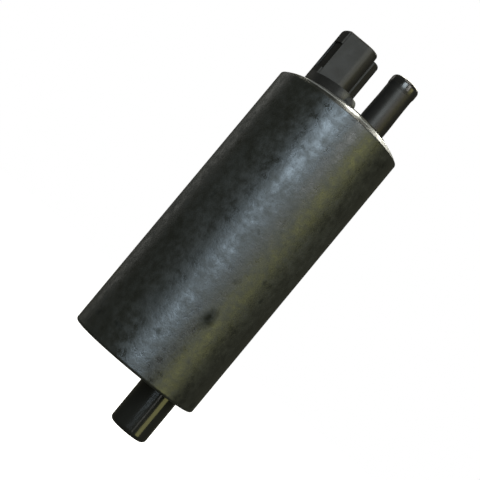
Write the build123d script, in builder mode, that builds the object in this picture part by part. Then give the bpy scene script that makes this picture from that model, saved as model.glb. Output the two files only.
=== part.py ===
from build123d import *
import os
from math import asin, cos, degrees, radians, sin, sqrt

# In-tank fuel pump, millimetres, +Z up along the pump axis, inlet down, outlet and plug up.
# The origin is on the axis, at the middle of the straight part of the shell.

# Shell: steel tube, turned thinner at both ends and rolled in over the pieces it holds
shell_radius = 19.0
shell_wall = 2.0
end_wall = 1.4
top_lip_rise = 2.26
top_lip_opening = 13.8
top_lip_crown = 0.3
top_edge_radius = 0.5
base_lip_thickness = 1.4
base_lip_width = 1.3
base_edge_radius = 0.8

# Springs are wound from wire drawn here with six sides
wire_sides = 6

# Clearances
fit_gap = 0.05
press_gap = 0.02
bearing_gap = 0.03
sliding_gap = 0.15
valve_seat_gap = 0.05

# End cap: flange under the lip, neck through it, raised step, tower, rib and outlet nipple
cap_flange_height = 9.5
cap_neck_gap = 0.15
cap_proud = 0.3
step_height = 2.35
step_right = -0.95
step_corner = 2.9
ridge_x = -0.4
ridge_radius = 1.7
ridge_drop = 0.2
ridge_half_length = 11.2
tower_height = 13.85
tower_half_depth = 6.8
tower_right = -2.4
tower_corner = 3.6
tower_edge_round = 0.8
tower_wall = 1.35
latch_depth = 0.45
latch_low = 1.8
latch_height = 8.0
latch_angle = 21.5
latch_span = 20.0
rib_width = 2.0
rib_depth = 4.0
rib_strip = 0.5
rib_nose = 0.6
rib_drop = 1.45
rib_round = 0.9
socket_floor_rise = 0.2

# Outlet nipple and the check valve in it
nipple_edge_inset = 1.82
nipple_tip_rise = 19.1
nipple_foot_height = 4.0
nipple_foot_taper = 6.0
nipple_neck_radius = 3.93
nipple_bead_radius = 4.08
nipple_bead_drop = 2.6
nipple_bead_width = 1.8
nipple_nose = 1.3
nipple_bore_radius = 2.2
outlet_bore_length = 10.1
valve_chamber_radius = 2.8
valve_seat_inset = 1.5
valve_seat_height = 4.0
valve_seat_hole = 1.3
valve_seat_sink = 2.3
poppet_radius = 2.1
poppet_flange_radius = 2.5
poppet_flange_height = 0.8
poppet_stem_radius = 1.0
poppet_stem_height = 5.0
check_spring_radius = 2.45
check_spring_wire = 0.4
check_spring_turns = 6

# Relief valve beside the outlet
relief_inset = 4.1
relief_angle = 52.7
relief_bore_radius = 1.95
relief_hole_radius = 0.95
relief_floor_rise = 2.0
relief_ball_radius = 1.6
relief_retainer_height = 1.4
relief_retainer_drop = 0.3
relief_retainer_hole = 1.0
relief_spring_radius = 1.35
relief_spring_wire = 0.4
relief_spring_turns = 4

# Seal between cap and shell
seal_section = 0.85
seal_rise = 3.6
seal_groove_depth = 1.85
seal_groove_width = 2.2

# Terminals: blades in the socket, straps moulded into the cap
terminal_x = -8.0
terminal_half_spacing = 2.6
blade_width = 2.8
blade_thickness = 0.8
blade_drop = 2.4
blade_tip_chamfer = 0.3
strap_thickness = 0.8
strap_rise = 6.5

# Brushes, in guides that hang from the cap
brush_offset = 8.4
brush_size = 5.0
brush_length = 9.0
brush_edge = 0.4
guide_wall = 1.1
guide_lift = 2.0
brush_spring_length = 9.0
brush_spring_radius = 1.85
brush_spring_wire = 0.5
brush_spring_turns = 5
lead_radius = 0.4
lead_hole_radius = 0.6
lead_hole_depth = 2.0

# Shaft and bearings
shaft_radius = 2.0
shaft_flat_depth = 0.5
shaft_chamfer = 0.3
bush_radius = 4.0
bush_length = 7.0
bush_chamfer = 0.4
boss_wall = 1.4
upper_bush_drop = 5.2
shaft_end_gap = 1.3
shaft_end_rise = 0.3

# Armature
air_gap = 0.4
core_height = 22.0
slot_count = 8
slot_circle_share = 0.709
slot_share = 0.62
slot_mouth = 1.4
insulator_thickness = 0.8
insulator_tube_radius = 3.8
winding_gap = 0.3
crown_inner = 5.2
crown_inset = 1.1
crown_height = 3.4
lower_crown_height = 4.0
crown_chamfer = 1.2

# Commutator: a plastic hub with a flat ring of segments on top
hub_gap = 0.2
hub_edge = 0.4
hub_height = 4.8
hub_recess_radius = 4.6
hub_recess_depth = 1.2
segment_inner_margin = 1.0
segment_outer_margin = 0.5
segment_height = 1.8
segment_gap = 4.3

# Magnets and the spring plates between them
magnet_thickness = 3.85
magnet_height = 30.0
magnet_span = 130.0
magnet_chamfer = 0.5
clip_thickness = 0.7
clip_leg_span = 2.6
clip_inset = 2.0
clip_leg_gap = 1.0

# Pump section: inlet cover, impeller, casing
cover_thickness = 6.6
cover_proud = 1.3
cover_neck_gap = 0.2
cover_neck_chamfer = 0.4
stub_edge_inset = 1.65
stub_radius = 5.5
stub_length = 13.85
stub_bore_radius = 4.0
stub_tip_round = 1.3
stub_root_round = 0.8
casing_height = 9.0
casing_skirt_height = 7.0
casing_skirt_wall = 1.75
casing_rim_wall = 2.3
impeller_thickness = 3.5
impeller_side_gap = 0.1
impeller_rim_gap = 0.25
vane_count = 37
vane_rim = 0.7
vane_length = 2.1
vane_width = 0.8
vane_pocket_depth = 1.4
channel_inset = 1.8
channel_width = 2.8
channel_depth = 1.3
channel_span = 300.0
port_radius = 1.3
pad_radius = 2.5
pad_height = 1.0
pad_recess = 5.9
washer_thickness = 0.5
washer_radius = 4.6
washer_gap = 0.1
bush_crown_gap = 1.2

# Radii that follow from the shell and its lips
lip_slope = top_lip_rise / (shell_radius - top_lip_opening)
lip_drop = end_wall * sqrt(1 + lip_slope**2)
bore_radius = shell_radius - shell_wall
end_bore_radius = shell_radius - end_wall
base_lip_opening = end_bore_radius - base_lip_width
flange_radius = end_bore_radius - fit_gap
neck_radius = top_lip_opening - cap_neck_gap
cover_neck_radius = base_lip_opening - cover_neck_gap
nipple_offset = neck_radius - nipple_edge_inset - nipple_bead_radius
relief_x = (neck_radius - relief_inset) * cos(radians(relief_angle))
relief_y = (neck_radius - relief_inset) * sin(radians(relief_angle))
stub_offset = base_lip_opening - stub_edge_inset - stub_radius
magnet_outer = bore_radius - fit_gap
magnet_inner = magnet_outer - magnet_thickness
core_radius = magnet_inner - air_gap
clip_leg_radius = core_radius + clip_leg_gap
slot_circle = core_radius * slot_circle_share
slot_radius = slot_circle * sin(radians(180 / slot_count)) * slot_share
winding_radius = slot_radius - winding_gap
crown_outer = core_radius - crown_inset
segment_inner = brush_offset - brush_size / 2 - segment_inner_margin
segment_outer = brush_offset + brush_size / 2 + segment_outer_margin
hub_radius = segment_outer - hub_edge
impeller_radius = flange_radius - casing_rim_wall - impeller_rim_gap
channel_radius = impeller_radius - channel_inset
vane_outer = impeller_radius - vane_rim
vane_inner = vane_outer - vane_length

# Heights stack up from the base lip to the top edge: 82 mm in all
core_inset = (magnet_height - core_height) / 2
pump_stack = base_lip_thickness + cover_thickness + casing_height + casing_skirt_height
armature_stack = core_inset + core_height + insulator_thickness + crown_height
commutator_stack = hub_gap + hub_height + segment_height
brush_stack = brush_length + brush_spring_length - strap_rise
shell_length = pump_stack + armature_stack + commutator_stack + brush_stack + cap_flange_height

# Levels along the axis
shell_base = -shell_length / 2
shell_top = shell_length / 2
cover_seat_level = shell_base + base_lip_thickness
cover_top = cover_seat_level + cover_thickness
recess_top = cover_top + impeller_thickness + 2 * impeller_side_gap
casing_seat_level = cover_top + casing_height
magnet_base = casing_seat_level + casing_skirt_height
core_base = magnet_base + core_inset
core_top = core_base + core_height
crown_top = core_top + insulator_thickness + crown_height
lower_crown_base = core_base - insulator_thickness - lower_crown_height
lower_bush_top = lower_crown_base - bush_crown_gap
lower_bush_base = lower_bush_top - bush_length
hub_base = crown_top + hub_gap
hub_top = hub_base + hub_height
brush_base = hub_top + segment_height
brush_top = brush_base + brush_length
strap_level = brush_top + brush_spring_length
cap_seat_level = strap_level - strap_rise
upper_bush_base = cap_seat_level - upper_bush_drop
upper_bush_top = upper_bush_base + bush_length
pad_base = cover_top - pad_recess
cap_top = shell_top + top_lip_rise + cap_proud
step_top = cap_top + step_height
tower_top = step_top + tower_height
nipple_tip = shell_top + nipple_tip_rise
chamber_top = nipple_tip - outlet_bore_length

os.makedirs("parts", exist_ok=True)


def inner_lip_level(radius):
    """Height of the underside of the top lip at a radius."""
    return shell_top + (shell_radius - radius) * lip_slope - lip_drop


def ring_sector(inner_radius, outer_radius, middle_angle, span):
    """Outline of a piece of a ring about the pump axis."""
    with BuildSketch() as sector:
        with BuildLine():
            outer = CenterArc((0, 0), outer_radius, middle_angle - span / 2, span)
            inner = CenterArc((0, 0), inner_radius, middle_angle - span / 2, span)
            Line(outer @ 0, inner @ 0)
            Line(outer @ 1, inner @ 1)
        make_face()
    return sector.sketch


def coil_spring(base, top, wire, radius, turns, x, y):
    """Coil spring that stands between two levels at a place beside the axis."""
    height = top - base - wire
    with BuildPart() as spring:
        with BuildLine() as coil:
            Helix(height / turns, height, radius, center=(x, y, base + wire / 2))
        with BuildSketch(coil.line ^ 0):
            RegularPolygon(wire / 2, wire_sides)
        sweep(is_frenet=True)
    return spring.part


def save(part, name):
    """Write one piece under its name."""
    part.label = name
    export_step(part, f"parts/{name}.step")


# Shell: one tube with both lips, the top one rolled over in a slight curve
crown_radius = (shell_radius + top_lip_opening) / 2 + top_lip_crown * lip_slope / sqrt(1 + lip_slope**2)
crown_level = shell_top + top_lip_rise / 2 + top_lip_crown / sqrt(1 + lip_slope**2)
with BuildPart() as shell:
    with BuildSketch(Plane.XZ) as shell_section:
        with BuildLine():
            Polyline(
                (top_lip_opening, shell_top + top_lip_rise),
                (top_lip_opening, inner_lip_level(top_lip_opening)),
                (end_bore_radius, inner_lip_level(end_bore_radius)),
                (end_bore_radius, cap_seat_level),
                (bore_radius, cap_seat_level),
                (bore_radius, casing_seat_level),
                (end_bore_radius, casing_seat_level),
                (end_bore_radius, cover_seat_level),
                (base_lip_opening, cover_seat_level),
                (base_lip_opening, shell_base),
                (shell_radius, shell_base),
                (shell_radius, shell_top),
            )
            ThreePointArc(
                (shell_radius, shell_top),
                (crown_radius, crown_level),
                (top_lip_opening, shell_top + top_lip_rise),
            )
        make_face()
        top_corner = shell_section.vertices().group_by(Axis.X)[-1].sort_by(Axis.Y)[-1]
        fillet(top_corner, top_edge_radius)
        base_corner = shell_section.vertices().group_by(Axis.Y)[0].sort_by(Axis.X)[-1]
        fillet(base_corner, base_edge_radius)
    revolve(axis=Axis.Z)
save(shell.part, "shell")

# Terminals: an upright blade in the socket and a flat strap that reaches over the brush spring
terminals = {}
for side, sign in (("plus", -1), ("minus", 1)):
    with BuildPart() as terminal:
        with BuildSketch(Plane.XY.offset(strap_level)):
            with Locations((terminal_x / 2, sign * brush_offset)):
                Rectangle(blade_width - terminal_x, blade_width)
            strap_reach = brush_offset - terminal_half_spacing + (blade_width + blade_thickness) / 2
            strap_middle = sign * (brush_offset + blade_width / 2 - strap_reach / 2)
            with Locations((terminal_x, strap_middle)):
                Rectangle(blade_width, strap_reach)
        extrude(amount=strap_thickness)
        blade_top = tower_top - blade_drop
        with BuildSketch(Plane.XY.offset(strap_level)):
            with Locations((terminal_x, sign * terminal_half_spacing)):
                Rectangle(blade_width, blade_thickness)
        extrude(amount=blade_top - strap_level)
        chamfer(terminal.faces().sort_by(Axis.Z)[-1].edges(), blade_tip_chamfer)
    terminals[side] = terminal.part
    save(terminal.part, f"terminal_{side}")

# Tower outline: its left wall follows the cap's neck, its right corners are round
with BuildSketch() as tower_outline:
    with BuildLine():
        left_x = -sqrt(neck_radius**2 - tower_half_depth**2)
        right_top = (tower_right, tower_half_depth - tower_corner)
        right_low = (tower_right, tower_corner - tower_half_depth)
        Line((left_x, -tower_half_depth), (tower_right - tower_corner, -tower_half_depth))
        RadiusArc((tower_right - tower_corner, -tower_half_depth), right_low, -tower_corner)
        Line(right_low, right_top)
        RadiusArc(right_top, (tower_right - tower_corner, tower_half_depth), -tower_corner)
        Line((tower_right - tower_corner, tower_half_depth), (left_x, tower_half_depth))
        ThreePointArc((left_x, tower_half_depth), (-neck_radius, 0), (left_x, -tower_half_depth))
    make_face()

# End cap: one moulding
nipple_axis = Axis((nipple_offset, 0, 0), (0, 0, 1))
with BuildPart() as end_cap:
    with BuildSketch(Plane.XZ):
        with BuildLine():
            Polyline(
                (0, cap_seat_level),
                (flange_radius, cap_seat_level),
                (flange_radius, inner_lip_level(flange_radius) - fit_gap),
                (neck_radius, inner_lip_level(neck_radius) - fit_gap),
                (neck_radius, cap_top),
                (0, cap_top),
                close=True,
            )
        make_face()
    revolve(axis=Axis.Z)

    # Groove for the seal
    with BuildSketch(Plane.XZ):
        with Locations((end_bore_radius - seal_groove_depth / 2, cap_seat_level + seal_rise)):
            Rectangle(seal_groove_depth, seal_groove_width)
    revolve(axis=Axis.Z, mode=Mode.SUBTRACT)

    # Raised step under the tower, with round corners towards the outlet
    with BuildSketch(Plane.XY.offset(cap_top)) as step_outline:
        Circle(neck_radius)
        with Locations((step_right - neck_radius, 0)):
            Rectangle(2 * neck_radius, 2 * neck_radius, mode=Mode.INTERSECT)
        fillet(step_outline.vertices().group_by(Axis.X)[-1], step_corner)
    extrude(amount=step_height)

    # Round-backed ridge along the end of the step
    ridge_level = step_top - ridge_drop - ridge_radius
    with Locations((ridge_x, 0, ridge_level)):
        Cylinder(ridge_radius, 2 * ridge_half_length, rotation=(90, 0, 0))
    with Locations((ridge_x, -ridge_half_length, ridge_level), (ridge_x, ridge_half_length, ridge_level)):
        Sphere(ridge_radius)

    # Tower
    with BuildSketch(Plane.XY.offset(step_top)):
        add(tower_outline.sketch)
    extrude(amount=tower_height)
    fillet(end_cap.faces().sort_by(Axis.Z)[-1].edges(), tower_edge_round)

    # Key rib on the tower's right side: a strip with a wedge-shaped nose
    rib_top = tower_top - rib_drop
    rib_right = tower_right + rib_width
    with BuildSketch(Plane.XY.offset(cap_top)):
        with BuildLine():
            Polyline(
                (tower_right - tower_wall / 2, -rib_depth / 2),
                (tower_right + rib_strip, -rib_depth / 2),
                (rib_right, -rib_nose / 2),
                (rib_right, rib_nose / 2),
                (tower_right + rib_strip, rib_depth / 2),
                (tower_right - tower_wall / 2, rib_depth / 2),
                close=True,
            )
        make_face()
    extrude(amount=rib_top - cap_top)
    cross_edges = end_cap.edges().filter_by(Axis.Y)
    nose_edges = cross_edges.filter_by(lambda edge: abs(edge.center().X - rib_right) < fit_gap)
    fillet(nose_edges.sort_by(Axis.Z)[-1], rib_round)

    # Latch pockets in the tower's left wall, each side of a middle land
    with BuildSketch(Plane.XY.offset(step_top + latch_low)):
        for middle in (180 - latch_angle, 180 + latch_angle):
            add(ring_sector(neck_radius - latch_depth, shell_radius, middle, latch_span))
    extrude(amount=latch_height, mode=Mode.SUBTRACT)

    # Socket
    socket_floor = step_top + socket_floor_rise
    with BuildSketch(Plane.XY.offset(socket_floor)):
        add(tower_outline.sketch)
        offset(amount=-tower_wall, kind=Kind.INTERSECTION, mode=Mode.REPLACE)
    extrude(amount=tower_top - socket_floor, mode=Mode.SUBTRACT)

    # Outlet nipple
    with BuildSketch(Plane.XZ) as nipple_section:
        bead_level = nipple_tip - nipple_bead_drop
        foot_top = cap_top + nipple_foot_height
        with BuildLine():
            Polyline(
                (nipple_offset, cap_seat_level),
                (nipple_offset + nipple_bead_radius, cap_seat_level),
                (nipple_offset + nipple_bead_radius, foot_top),
                (nipple_offset + nipple_neck_radius, foot_top + nipple_foot_taper),
                (nipple_offset + nipple_neck_radius, bead_level - nipple_bead_width / 2),
                (nipple_offset + nipple_bead_radius, bead_level),
                (nipple_offset + nipple_bead_radius, nipple_tip),
                (nipple_offset, nipple_tip),
                close=True,
            )
        make_face()
        nose_corner = nipple_section.vertices().group_by(Axis.Y)[-1].sort_by(Axis.X)[-1]
        fillet(nose_corner, nipple_nose)
    revolve(axis=nipple_axis)

    # Boss for the upper bearing and the two brush guides
    with BuildSketch(Plane.XY.offset(upper_bush_base)):
        Circle(bush_radius + boss_wall)
    extrude(amount=upper_bush_drop)
    guide_base = brush_base + guide_lift
    guide_bore = brush_size + 2 * sliding_gap
    with BuildSketch(Plane.XY.offset(guide_base)):
        with Locations((0, -brush_offset), (0, brush_offset)):
            Rectangle(guide_bore + 2 * guide_wall, guide_bore + 2 * guide_wall)
    extrude(amount=cap_seat_level - guide_base)
    with BuildSketch(Plane.XY.offset(guide_base)):
        with Locations((0, -brush_offset), (0, brush_offset)):
            Rectangle(guide_bore, guide_bore)
    extrude(amount=strap_level - guide_base, mode=Mode.SUBTRACT)
    with Locations((0, 0, upper_bush_base)):
        Cylinder(
            bush_radius + press_gap,
            bush_length,
            align=(Align.CENTER, Align.CENTER, Align.MIN),
            mode=Mode.SUBTRACT,
        )
        Cylinder(
            shaft_radius + boss_wall / 2,
            bush_length + shaft_end_gap,
            align=(Align.CENTER, Align.CENTER, Align.MIN),
            mode=Mode.SUBTRACT,
        )

    # Check valve chamber, open through the side of the bearing boss, and outlet bore
    with BuildSketch(Plane.XZ):
        with BuildLine():
            Polyline(
                (nipple_offset, upper_bush_base),
                (nipple_offset + valve_chamber_radius, upper_bush_base),
                (nipple_offset + valve_chamber_radius, chamber_top),
                (nipple_offset + nipple_bore_radius, chamber_top),
                (nipple_offset + nipple_bore_radius, nipple_tip),
                (nipple_offset, nipple_tip),
                close=True,
            )
        make_face()
    revolve(axis=nipple_axis, mode=Mode.SUBTRACT)

    # Relief valve bore: a small hole, a conical seat and a straight bore that opens at the top
    relief_floor = cap_seat_level + relief_floor_rise
    relief_cone_top = relief_floor + relief_bore_radius - relief_hole_radius
    with BuildSketch(Plane.XZ.offset(-relief_y)):
        with BuildLine():
            Polyline(
                (relief_x, cap_seat_level),
                (relief_x + relief_hole_radius, cap_seat_level),
                (relief_x + relief_hole_radius, relief_floor),
                (relief_x + relief_bore_radius, relief_cone_top),
                (relief_x + relief_bore_radius, cap_top),
                (relief_x, cap_top),
                close=True,
            )
        make_face()
    revolve(axis=Axis((relief_x, relief_y, 0), (0, 0, 1)), mode=Mode.SUBTRACT)

    # The plastic flows round the terminals
    for terminal_part in terminals.values():
        add(terminal_part, mode=Mode.SUBTRACT)
save(end_cap.part, "end_cap")

# Seal ring in the cap's groove
with BuildPart() as cap_seal:
    with BuildSketch(Plane.XZ):
        with Locations((end_bore_radius - fit_gap - seal_section, cap_seat_level + seal_rise)):
            Circle(seal_section)
    revolve(axis=Axis.Z)
save(cap_seal.part, "cap_seal")

# Check valve: seat ring, poppet with a round nose and a stem, and its spring
seat_base = cap_seat_level + valve_seat_inset
seat_top = seat_base + valve_seat_height
with BuildPart() as check_valve_seat:
    with BuildSketch(Plane.XZ):
        with BuildLine():
            Polyline(
                (nipple_offset + valve_seat_hole, seat_base),
                (nipple_offset + valve_chamber_radius - press_gap, seat_base),
                (nipple_offset + valve_chamber_radius - press_gap, seat_top),
                (nipple_offset + valve_seat_sink, seat_top),
                (nipple_offset + valve_seat_hole, seat_top - valve_seat_sink + valve_seat_hole),
                close=True,
            )
        make_face()
    revolve(axis=nipple_axis)
save(check_valve_seat.part, "check_valve_seat")

poppet_level = seat_top - valve_seat_sink + sqrt(2) * (poppet_radius + valve_seat_gap)
poppet_flange_top = poppet_level + poppet_flange_height
with BuildPart() as check_valve_poppet:
    with BuildSketch(Plane.XZ):
        with BuildLine():
            nose = CenterArc((nipple_offset, poppet_level), poppet_radius, -90, 90)
            Polyline(
                nose @ 1,
                (nipple_offset + poppet_flange_radius, poppet_level),
                (nipple_offset + poppet_flange_radius, poppet_flange_top),
                (nipple_offset + poppet_stem_radius, poppet_flange_top),
                (nipple_offset + poppet_stem_radius, poppet_flange_top + poppet_stem_height),
                (nipple_offset, poppet_flange_top + poppet_stem_height),
                nose @ 0,
            )
        make_face()
    revolve(axis=nipple_axis)
save(check_valve_poppet.part, "check_valve_poppet")

check_spring = coil_spring(
    poppet_flange_top,
    chamber_top,
    check_spring_wire,
    check_spring_radius,
    check_spring_turns,
    nipple_offset,
    0,
)
save(check_spring, "check_valve_spring")

# Relief valve: steel ball on the cone, spring, and a retainer pressed in at the top
cone_apex = relief_floor - relief_hole_radius
ball_level = cone_apex + sqrt(2) * (relief_ball_radius + valve_seat_gap)
with BuildPart() as relief_ball:
    with Locations((relief_x, relief_y, ball_level)):
        Sphere(relief_ball_radius)
save(relief_ball.part, "relief_ball")

retainer_top = cap_top - relief_retainer_drop
retainer_base = retainer_top - relief_retainer_height
with BuildPart() as relief_retainer:
    with BuildSketch(Plane.XY.offset(retainer_base)):
        with Locations((relief_x, relief_y)):
            Circle(relief_bore_radius - press_gap)
            Circle(relief_retainer_hole, mode=Mode.SUBTRACT)
    extrude(amount=relief_retainer_height)
save(relief_retainer.part, "relief_retainer")

ball_reach = relief_ball_radius + relief_spring_wire / 2 + valve_seat_gap
spring_rest = ball_level + sqrt(ball_reach**2 - relief_spring_radius**2)
relief_spring = coil_spring(
    spring_rest - relief_spring_wire / 2,
    retainer_base,
    relief_spring_wire,
    relief_spring_radius,
    relief_spring_turns,
    relief_x,
    relief_y,
)
save(relief_spring, "relief_spring")

# Brushes with their springs and leads
for side, sign in (("plus", -1), ("minus", 1)):
    with BuildPart() as brush:
        with BuildSketch(Plane.XY.offset(brush_base)):
            with Locations((0, sign * brush_offset)):
                Rectangle(brush_size, brush_size)
        extrude(amount=brush_length)
        chamfer(brush.edges().filter_by(Axis.Z), brush_edge)
        with Locations((0, sign * brush_offset, brush_top)):
            Hole(lead_hole_radius, lead_hole_depth)
    save(brush.part, f"brush_{side}")

    brush_spring = coil_spring(
        brush_top,
        strap_level,
        brush_spring_wire,
        brush_spring_radius,
        brush_spring_turns,
        0,
        sign * brush_offset,
    )
    save(brush_spring, f"brush_spring_{side}")

    with BuildPart() as lead:
        with BuildSketch(Plane.XY.offset(brush_top - lead_hole_depth)):
            with Locations((0, sign * brush_offset)):
                Circle(lead_radius)
        extrude(amount=strap_level - brush_top + lead_hole_depth)
    save(lead.part, f"brush_lead_{side}")

# Bearings: plain bushes, the upper in the cap, the lower in the pump casing
for name, base in (("upper_bearing", upper_bush_base), ("lower_bearing", lower_bush_base)):
    with BuildPart() as bush:
        with BuildSketch(Plane.XY.offset(base)):
            Circle(bush_radius)
            Circle(shaft_radius + bearing_gap, mode=Mode.SUBTRACT)
        extrude(amount=bush_length)
        outer_edges = bush.edges().filter_by(GeomType.CIRCLE).group_by(SortBy.RADIUS)[-1]
        chamfer(outer_edges, bush_chamfer)
    save(bush.part, name)

# Shaft, with a flat at its lower end that drives the impeller
pad_top = pad_base + pad_height
shaft_base = pad_top + fit_gap
shaft_top = upper_bush_top + shaft_end_rise
with BuildPart() as shaft:
    with BuildSketch(Plane.XY.offset(shaft_base)):
        Circle(shaft_radius)
    extrude(amount=shaft_top - shaft_base)
    chamfer(shaft.edges().filter_by(GeomType.CIRCLE), shaft_chamfer)
    with BuildSketch(Plane.XY.offset(shaft_base)):
        with Locations((shaft_radius - shaft_flat_depth / 2, 0)):
            Rectangle(shaft_flat_depth, 2 * shaft_radius)
    extrude(amount=recess_top - shaft_base, mode=Mode.SUBTRACT)
save(shaft.part, "shaft")

# Armature core: a stack of slotted steel sheets
with BuildSketch() as core_outline:
    Circle(core_radius)
    with PolarLocations(slot_circle, slot_count):
        Circle(slot_radius, mode=Mode.SUBTRACT)
    with PolarLocations((slot_circle + core_radius) / 2 + slot_radius / 2, slot_count):
        Rectangle(core_radius - slot_circle, slot_mouth, mode=Mode.SUBTRACT)
    Circle(shaft_radius + press_gap, mode=Mode.SUBTRACT)

with BuildPart() as armature_core:
    with BuildSketch(Plane.XY.offset(core_base)):
        add(core_outline.sketch)
    extrude(amount=core_height)
save(armature_core.part, "armature_core")

# Insulators: thin slotted discs on both ends of the core, the lower one with a tube on the shaft
with BuildPart() as upper_insulator:
    with BuildSketch(Plane.XY.offset(core_top)):
        add(core_outline.sketch)
    extrude(amount=insulator_thickness)
save(upper_insulator.part, "upper_insulator")

washer_top = lower_bush_top + washer_thickness
with BuildPart() as lower_insulator:
    with BuildSketch(Plane.XY.offset(core_base - insulator_thickness)):
        add(core_outline.sketch)
    extrude(amount=insulator_thickness)
    tube_base = washer_top + washer_gap
    with BuildSketch(Plane.XY.offset(tube_base)):
        Circle(insulator_tube_radius)
        Circle(shaft_radius + press_gap, mode=Mode.SUBTRACT)
    extrude(amount=core_base - insulator_thickness - tube_base)
save(lower_insulator.part, "lower_insulator")

# Windings: a copper crown at each end and the bundles that run through the slots
with BuildPart() as windings:
    for level, height in ((lower_crown_base, lower_crown_height), (crown_top - crown_height, crown_height)):
        with BuildSketch(Plane.XZ) as crown_section:
            with Locations(((crown_inner + crown_outer) / 2, level + height / 2)):
                Rectangle(crown_outer - crown_inner, height)
            chamfer(crown_section.vertices(), crown_chamfer)
        revolve(axis=Axis.Z)
    with BuildSketch(Plane.XY.offset(lower_crown_base + lower_crown_height / 2)):
        with PolarLocations(slot_circle, slot_count):
            Circle(winding_radius)
    extrude(amount=crown_top - crown_height / 2 - lower_crown_base - lower_crown_height / 2)
save(windings.part, "windings")

# Commutator
with BuildPart() as commutator_hub:
    with BuildSketch(Plane.XY.offset(hub_base)):
        Circle(hub_radius)
        Circle(shaft_radius + press_gap, mode=Mode.SUBTRACT)
    extrude(amount=hub_height)
    with BuildSketch(Plane.XY.offset(hub_top)):
        Circle(hub_recess_radius)
    extrude(amount=-hub_recess_depth, mode=Mode.SUBTRACT)
save(commutator_hub.part, "commutator_hub")

with BuildPart() as commutator_segments:
    with BuildSketch(Plane.XY.offset(hub_top)):
        for number in range(slot_count):
            pitch = 360 / slot_count
            add(ring_sector(segment_inner, segment_outer, number * pitch, pitch - segment_gap))
    extrude(amount=segment_height)
save(commutator_segments.part, "commutator_segments")

# Magnets: two curved blocks against the shell
for name, middle in (("magnet_front", 270), ("magnet_rear", 90)):
    with BuildPart() as magnet:
        with BuildSketch(Plane.XY.offset(magnet_base)):
            add(ring_sector(magnet_inner, magnet_outer, middle, magnet_span))
        extrude(amount=magnet_height)
        chamfer(magnet.edges().filter_by(Axis.Z), magnet_chamfer)
    save(magnet.part, name)

# Spring plates that push the magnets apart: a curved back with two inward legs
clip_span = 180 - magnet_span
for name, middle in (("magnet_clip_left", 180), ("magnet_clip_right", 0)):
    with BuildPart() as clip:
        with BuildSketch(Plane.XY.offset(magnet_base + clip_inset)):
            add(ring_sector(magnet_outer - clip_thickness, magnet_outer, middle, clip_span))
            for turn in (-1, 1):
                leg = middle + turn * (clip_span - clip_leg_span) / 2
                add(ring_sector(clip_leg_radius, magnet_outer, leg, clip_leg_span))
        extrude(amount=magnet_height - 2 * clip_inset)
    save(clip.part, name)

# Washer on the lower bearing
with BuildPart() as thrust_washer:
    with BuildSketch(Plane.XY.offset(lower_bush_top)):
        Circle(washer_radius)
        Circle(shaft_radius + sliding_gap, mode=Mode.SUBTRACT)
    extrude(amount=washer_thickness)
save(thrust_washer.part, "thrust_washer")

# Pump channel: the same open ring in the cover and in the casing, from the inlet to the port
with BuildSketch() as channel_outline:
    channel_inner = channel_radius - channel_width / 2
    channel_outer = channel_radius + channel_width / 2
    add(ring_sector(channel_inner, channel_outer, channel_span / 2, channel_span))
    for angle in (0, channel_span):
        with Locations((channel_radius * cos(radians(angle)), channel_radius * sin(radians(angle)))):
            Circle(channel_width / 2)

# Pump casing: holds the impeller from above, carries the lower bearing and the magnets
with BuildPart() as pump_casing:
    with BuildSketch(Plane.XY.offset(cover_top)):
        Circle(flange_radius)
    extrude(amount=casing_height)
    with BuildSketch(Plane.XY.offset(casing_seat_level)):
        Circle(bore_radius - fit_gap)
        Circle(bore_radius - fit_gap - casing_skirt_wall, mode=Mode.SUBTRACT)
    extrude(amount=casing_skirt_height)
    with BuildSketch(Plane.XY.offset(casing_seat_level)):
        Circle(bush_radius + boss_wall)
    extrude(amount=lower_bush_top - casing_seat_level)
    with BuildSketch(Plane.XY.offset(cover_top)):
        Circle(impeller_radius + impeller_rim_gap)
    extrude(amount=recess_top - cover_top, mode=Mode.SUBTRACT)
    with BuildSketch(Plane.XY.offset(recess_top)):
        add(channel_outline.sketch)
    extrude(amount=channel_depth, mode=Mode.SUBTRACT)
    with BuildSketch(Plane.XY.offset(recess_top)):
        port_x = channel_radius * cos(radians(channel_span))
        port_y = channel_radius * sin(radians(channel_span))
        with Locations((port_x, port_y)):
            Circle(port_radius)
    extrude(amount=casing_seat_level - recess_top, mode=Mode.SUBTRACT)
    with BuildSketch(Plane.XY.offset(lower_bush_base)):
        Circle(bush_radius + press_gap)
    extrude(amount=bush_length, mode=Mode.SUBTRACT)
    with BuildSketch(Plane.XY.offset(recess_top)):
        Circle(shaft_radius + 2 * sliding_gap)
    extrude(amount=lower_bush_base - recess_top, mode=Mode.SUBTRACT)
save(pump_casing.part, "pump_casing")

# Impeller: a ring of vane pockets in both faces inside an outer rim, and a hole with a flat
impeller_base = cover_top + impeller_side_gap
with BuildSketch() as vane_pockets:
    half_vane_inner = degrees(asin(vane_width / 2 / vane_inner))
    pocket_span = 360 / vane_count - 2 * half_vane_inner
    for number in range(vane_count):
        add(ring_sector(vane_inner, vane_outer, number * 360 / vane_count, pocket_span))

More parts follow.
